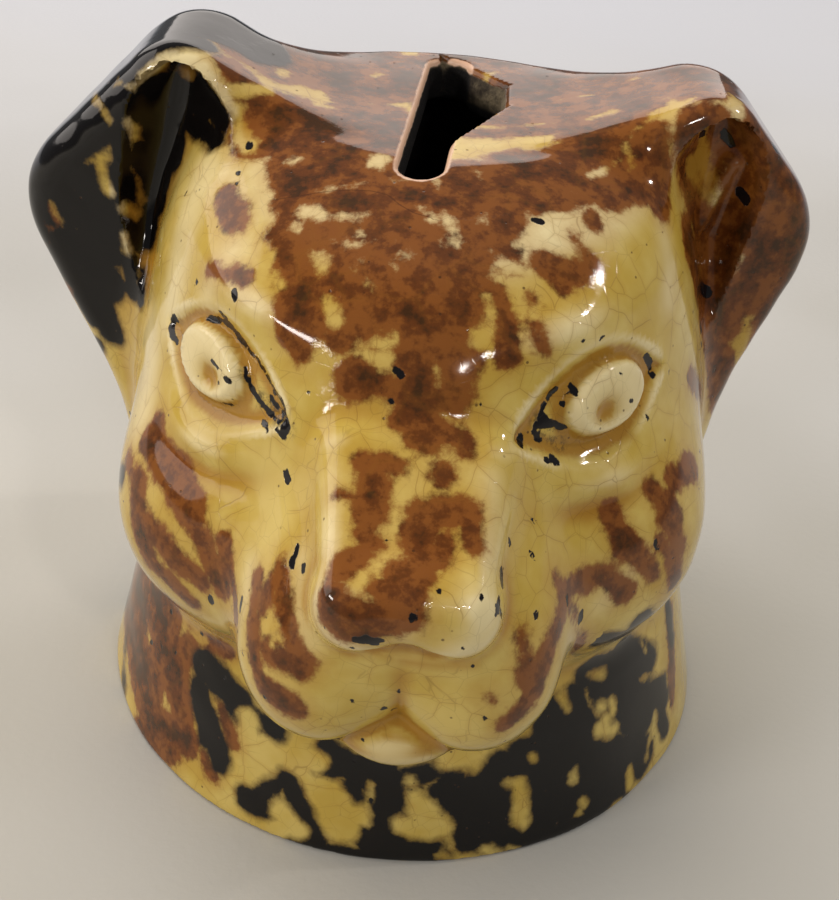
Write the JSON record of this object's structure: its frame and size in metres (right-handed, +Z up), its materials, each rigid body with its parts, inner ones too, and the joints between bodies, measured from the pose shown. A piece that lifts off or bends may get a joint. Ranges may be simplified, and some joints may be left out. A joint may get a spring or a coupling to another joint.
{
  "type": "dog head money bank",
  "caption": "Hollow glazed pottery money bank shaped as a dog's head on a flared collar, with a coin slot in the flat crown and a closed flat floor.",
  "frame": {"origin": "middle of the foot, on the surface that the bank stands on", "axes": "+Z up, the face looks along -Y, +X to the right of a viewer who faces the dog"},
  "size_m": [0.0905, 0.0952, 0.0836],
  "materials": {
    "sponged_glaze": "clear lead glaze over yellow ware with brown and black sponging",
    "black_sponged_glaze": "glossy black sponging under clear lead glaze",
    "brown_sponged_glaze": "glossy brown sponging under clear lead glaze",
    "bare_paste": "matt unglazed buff paste"
  },
  "bodies": {
    "root": {"face_shell": "sponged_glaze", "back_shell": "sponged_glaze", "left_ear": "black_sponged_glaze", "right_ear": "brown_sponged_glaze", "floor_slab": "bare_paste", "floor_roll": "bare_paste", "seam_roll_left": "bare_paste", "seam_roll_right": "bare_paste"}
  },
  "joints": []
}
